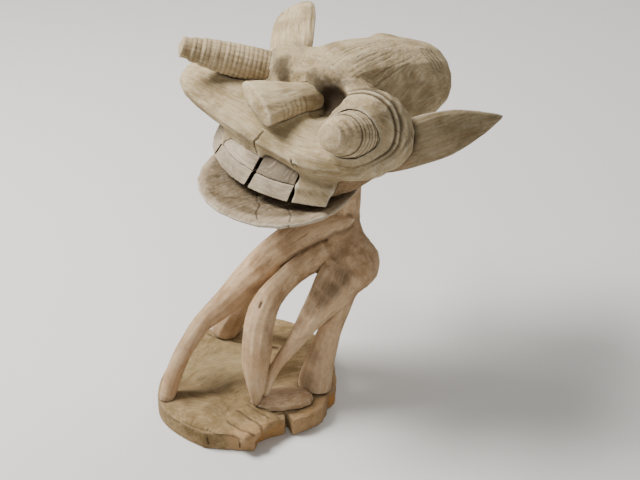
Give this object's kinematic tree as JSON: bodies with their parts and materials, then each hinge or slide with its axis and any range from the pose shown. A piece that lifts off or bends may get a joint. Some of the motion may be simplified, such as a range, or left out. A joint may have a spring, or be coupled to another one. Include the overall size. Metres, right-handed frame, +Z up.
{
  "type": "carved root spirit figure",
  "caption": "Crouching spirit figure carved from one weathered root: huge upturned head, stepped cone eyes, bared teeth and thin looping limbs on an oval root base.",
  "frame": {"origin": "centre of the underside of the root base, on the surface it stands on", "axes": "+Z up, the face looks along -Y, +X is the figure's own left side (the side of the pointed ear)"},
  "size_m": [0.243, 0.281, 0.3097],
  "materials": {
    "weathered_wood": "dry, weathered, matt",
    "root_base_wood": "dry, rough, matt, olive-grey patina",
    "lip_wood": "dry, rough, cracked, matt",
    "tooth_wood": "smooth, greyed, matt",
    "mouth_wood": "dark, rough, matt"
  },
  "bodies": {
    "root": {"base_slab": "root_base_wood", "calf": "weathered_wood", "crest_knob": "weathered_wood", "far_arm": "weathered_wood", "front_finger_1": "root_base_wood", "front_finger_2": "root_base_wood", "front_finger_3": "root_base_wood", "front_finger_4": "root_base_wood", "front_hand": "root_base_wood", "haunch": "weathered_wood", "jaw": "mouth_wood", "left_ear": "weathered_wood", "left_eye": "weathered_wood", "left_socket": "weathered_wood", "long_arm": "weathered_wood", "lower_lip": "lip_wood", "lower_tooth_1": "tooth_wood", "lower_tooth_2": "tooth_wood", "lower_tooth_3": "tooth_wood", "lower_tooth_4": "weathered_wood", "muzzle": "weathered_wood", "neck": "weathered_wood", "nose": "weathered_wood", "rear_hand": "root_base_wood", "right_ear": "weathered_wood", "right_eye": "weathered_wood", "right_socket": "weathered_wood", "shin": "weathered_wood", "short_arm": "weathered_wood", "shoulders": "weathered_wood", "skull": "weathered_wood", "thigh": "weathered_wood", "torso": "weathered_wood", "upper_tooth_1": "tooth_wood", "upper_tooth_2": "tooth_wood", "upper_tooth_3": "tooth_wood", "upper_tooth_4": "weathered_wood"}
  },
  "joints": []
}
